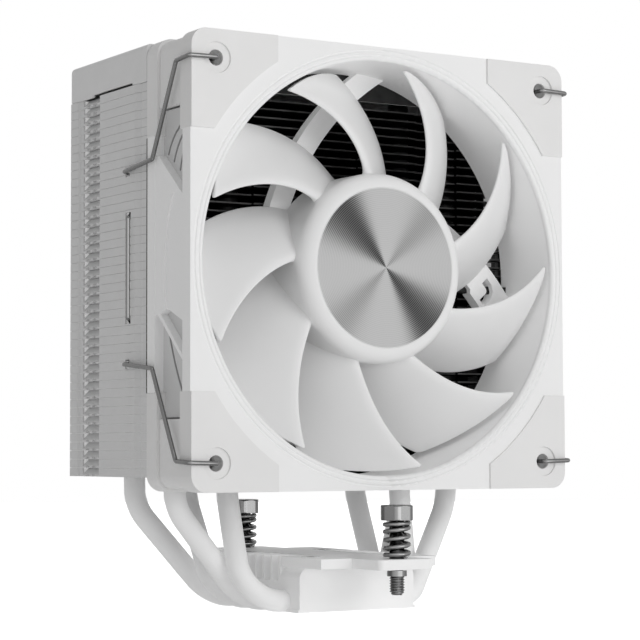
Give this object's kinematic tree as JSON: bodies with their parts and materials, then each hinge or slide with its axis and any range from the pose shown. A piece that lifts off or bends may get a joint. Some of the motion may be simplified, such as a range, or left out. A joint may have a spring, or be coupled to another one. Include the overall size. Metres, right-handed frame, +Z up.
{
  "type": "processor tower cooler",
  "caption": "White tower cooler: fin stack on bent heat pipes, sprung mounting bar, and a fan with a spun metal hub held by wire clips.",
  "frame": {"origin": "centre of the base's contact face, where it rests on the processor", "axes": "+Z up along the tower, the fan faces -Y, +X to the right seen from the front"},
  "size_m": [0.1281, 0.092, 0.153],
  "materials": {
    "white_coated_base": "smooth white coating",
    "white_coated_pipe": "satin white coating",
    "white_coated_fins": "satin white coating, dark in the gaps",
    "white_coated_cover": "satin white coating",
    "white_coated_bar": "satin white coating",
    "bright_steel": "bright plated steel",
    "spring_steel": "bright drawn wire",
    "clip_wire": "drawn steel wire",
    "white_frame_plastic": "fine matte moulding",
    "white_rubber": "matte soft rubber",
    "white_blade_plastic": "satin moulding",
    "spun_aluminium": "turned concentric grooves",
    "zinc_steel": "zinc plated",
    "ferrite": "bonded ferrite",
    "sintered_bronze": "oiled sintered bronze",
    "turned_brass": "turned",
    "dark_nylon": "plain",
    "lamination_steel": "stacked sheets",
    "natural_nylon": "plain",
    "enamelled_copper": "wound wire",
    "board_laminate": "solder mask",
    "blank_label": "plain film, nothing printed",
    "cable_sleeve": "dark braided sleeve",
    "dark_plug": "plain"
  },
  "bodies": {
    "heatsink": {"base_block": "white_coated_base", "heat_pipe_1": "white_coated_pipe", "heat_pipe_2": "white_coated_pipe", "heat_pipe_3": "white_coated_pipe", "heat_pipe_4": "white_coated_pipe", "fin_stack": "white_coated_fins", "top_cover": "white_coated_cover", "mounting_bar": "white_coated_bar", "bar_fixing_screws": "bright_steel", "front_screw_spring": "spring_steel", "rear_screw_spring": "spring_steel", "fan_frame": "white_frame_plastic", "front_corner_pads": "white_rubber", "rear_corner_pads": "white_rubber", "bearing_sleeve": "sintered_bronze", "bearing_housing": "turned_brass", "thrust_washer": "dark_nylon", "stator_core": "lamination_steel", "stator_insulator": "natural_nylon", "stator_coils": "enamelled_copper", "circuit_board": "board_laminate", "hall_sensor": "dark_nylon", "motor_label": "blank_label", "fan_cable": "cable_sleeve", "cable_plug": "dark_plug"},
    "fan_rotor": {"impeller": "white_blade_plastic", "hub_cap_disc": "spun_aluminium", "rotor_yoke": "zinc_steel", "rotor_magnet": "ferrite", "fan_shaft": "bright_steel", "shaft_lock_ring": "bright_steel"},
    "front_screw_travel": {"front_retaining_ring": "bright_steel"},
    "front_screw_turn": {"front_mount_screw": "bright_steel"},
    "rear_screw_travel": {"rear_retaining_ring": "bright_steel"},
    "rear_screw_turn": {"rear_mount_screw": "bright_steel"},
    "left_clip": {"left_wire_clip": "clip_wire"},
    "right_clip": {"right_wire_clip": "clip_wire"}
  },
  "joints": [
    {"name": "fan_spin", "type": "hinge", "parent": "heatsink", "child": "fan_rotor", "pos_m": [0, -0.027, 0.093], "axis": [0, -1, 0], "continuous": true},
    {"name": "front_screw_press", "type": "slide", "parent": "heatsink", "child": "front_screw_travel", "axis": [0, 0, -1], "range_m": [0, 0.004], "stiffness_N_per_m": 250, "springref_m": -0.002, "deforming": ["front_screw_spring"]},
    {"name": "front_screw_spin", "type": "hinge", "parent": "front_screw_travel", "child": "front_screw_turn", "pos_m": [0, -0.041, 0.0271], "axis": [0, 0, 1], "continuous": true},
    {"name": "rear_screw_press", "type": "slide", "parent": "heatsink", "child": "rear_screw_travel", "axis": [0, 0, -1], "range_m": [0, 0.004], "stiffness_N_per_m": 250, "springref_m": -0.002, "deforming": ["rear_screw_spring"]},
    {"name": "rear_screw_spin", "type": "hinge", "parent": "rear_screw_travel", "child": "rear_screw_turn", "pos_m": [0, 0.041, 0.0271], "axis": [0, 0, 1], "continuous": true},
    {"name": "left_clip_swing", "type": "hinge", "parent": "heatsink", "child": "left_clip", "pos_m": [-0.0587, -0.0004, 0.093], "axis": [0, 0, -1], "range_deg": [0, 2]},
    {"name": "right_clip_swing", "type": "hinge", "parent": "heatsink", "child": "right_clip", "pos_m": [0.0587, -0.0004, 0.093], "axis": [0, 0, 1], "range_deg": [0, 2]}
  ]
}
